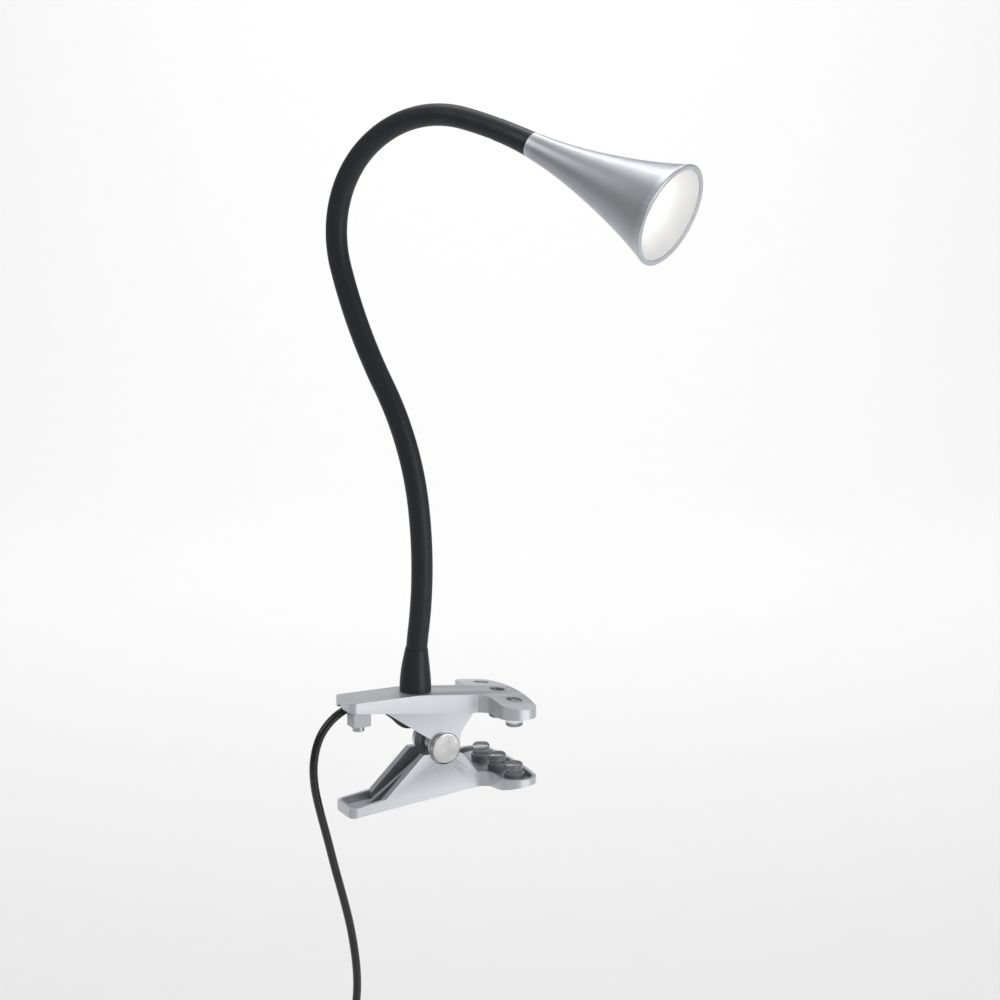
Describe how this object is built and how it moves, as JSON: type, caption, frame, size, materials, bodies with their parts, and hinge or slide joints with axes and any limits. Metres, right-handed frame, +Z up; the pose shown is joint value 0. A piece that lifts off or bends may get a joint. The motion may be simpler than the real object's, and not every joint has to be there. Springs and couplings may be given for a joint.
{
  "type": "clip on reading lamp",
  "caption": "Spring-clamp reading lamp with a bendable sleeved neck, a flared shade around a frosted LED dome, and a cord with a rocker switch and plug.",
  "frame": {"origin": "centre of the middle upper pad's face, where the clamp rests on the board's top", "axes": "+X from the handles into the board, +Z up, away from the board's top face, +Y to complete a right-handed frame"},
  "size_m": [0.1516, 0.1743, 0.6148],
  "materials": {
    "silver_paint": "satin silver paint",
    "silver_shade": "satin silver paint",
    "bright_steel": "polished",
    "conduit_steel": "wound strip",
    "black_sleeve": "matte",
    "black_boot": "matte",
    "clear_pad": "clear silicone",
    "black_cord": "glossy jacket",
    "black_case": "satin",
    "black_rocker": "gloss",
    "grey_plastic": "satin",
    "white_reflector": "white, diffuse",
    "frosted_dome": "frosted, lit from behind",
    "board_mask": "solder mask",
    "led_yellow": "phosphor",
    "fin_aluminium": "machined",
    "green_board": "solder mask",
    "part_black": "moulded",
    "red_wire": "insulation",
    "brass_pin": "turned",
    "tie_black": "coated wire"
  },
  "bodies": {
    "clamp": {"upper_jaw": "silver_paint", "upper_pads": "clear_pad", "pivot_pin": "bright_steel", "pivot_caps": "bright_steel", "torsion_spring": "bright_steel", "neck_stud": "bright_steel", "neck_washer": "bright_steel", "neck_nut": "bright_steel", "base_boot": "black_boot", "neck_sleeve_0": "black_sleeve", "neck_conduit_0": "conduit_steel", "neck_leads_0": "red_wire", "cord_clamp": "grey_plastic", "clamp_screw": "bright_steel", "inner_cord": "black_cord", "supply_cord": "black_cord", "switch_front": "black_case", "switch_back": "black_case", "switch_screws": "bright_steel", "switch_sleeves": "black_boot", "coil_lead": "black_cord", "cord_coil": "black_cord", "cord_tie": "tie_black", "plug_lead": "black_cord", "plug_body": "black_case", "plug_pins": "brass_pin"},
    "lower_jaw": {"lower_jaw": "silver_paint", "lower_pads": "clear_pad"},
    "neck_1": {"neck_sleeve_1": "black_sleeve", "neck_conduit_1": "conduit_steel", "neck_leads_1": "red_wire"},
    "neck_2": {"neck_sleeve_2": "black_sleeve", "neck_conduit_2": "conduit_steel", "neck_leads_2": "red_wire"},
    "neck_3": {"neck_sleeve_3": "black_sleeve", "neck_conduit_3": "conduit_steel", "neck_leads_3": "red_wire"},
    "neck_4": {"neck_sleeve_4": "black_sleeve", "neck_conduit_4": "conduit_steel", "neck_leads_4": "red_wire"},
    "neck_5": {"neck_sleeve_5": "black_sleeve", "neck_conduit_5": "conduit_steel", "neck_leads_5": "red_wire"},
    "head": {"neck_sleeve_6": "black_sleeve", "neck_conduit_6": "conduit_steel", "neck_leads_6": "red_wire", "head_boot": "black_boot", "shade": "silver_shade", "mouth_ring": "silver_shade", "reflector": "white_reflector", "diffuser": "frosted_dome", "led_board": "board_mask", "led_chips": "led_yellow", "board_screws": "bright_steel", "heat_sink": "fin_aluminium", "head_ferrule": "fin_aluminium", "driver_board": "green_board", "driver_parts": "part_black", "head_wires": "red_wire"},
    "switch_rocker": {"switch_rocker": "black_rocker"}
  },
  "joints": [
    {"name": "jaw_hinge", "type": "hinge", "parent": "clamp", "child": "lower_jaw", "pos_m": [-0.0332, 0, -0.0087], "axis": [0, -1, 0], "range_deg": [-34, 27], "stiffness_Nm_per_rad": 0.8, "springref_deg": 68.75, "deforming": ["torsion_spring"]},
    {"name": "neck_bend_1", "type": "hinge", "parent": "clamp", "child": "neck_1", "pos_m": [-0.04299, -0.00172, 0.0485], "axis": [-0.8616, -0.5075, 0], "range_deg": [-28, 28]},
    {"name": "neck_sway_2", "type": "hinge", "parent": "neck_1", "child": "neck_2", "pos_m": [-0.04272, -0.00217, 0.10832], "axis": [-0.5035, 0.8548, -0.1253], "range_deg": [-28, 28]},
    {"name": "neck_bend_3", "type": "hinge", "parent": "neck_2", "child": "neck_3", "pos_m": [-0.05266, 0.0147, 0.16457], "axis": [-0.8616, -0.5075, 0], "range_deg": [-28, 28]},
    {"name": "neck_sway_4", "type": "hinge", "parent": "neck_3", "child": "neck_4", "pos_m": [-0.06497, 0.03559, 0.21928], "axis": [-0.4864, 0.8257, -0.2857], "range_deg": [-28, 28]},
    {"name": "neck_bend_5", "type": "hinge", "parent": "neck_4", "child": "neck_5", "pos_m": [-0.05759, 0.02308, 0.27445], "axis": [-0.8616, -0.5075, 0], "range_deg": [-28, 28]},
    {"name": "neck_sway_6", "type": "hinge", "parent": "neck_5", "child": "head", "pos_m": [-0.02947, -0.02467, 0.29044], "axis": [0.1029, -0.1747, 0.9792], "range_deg": [-28, 28]},
    {"name": "switch_rock", "type": "hinge", "parent": "clamp", "child": "switch_rocker", "pos_m": [-0.077, -0.0011, -0.184], "axis": [1, 0, 0], "range_deg": [-14, 0]}
  ]
}
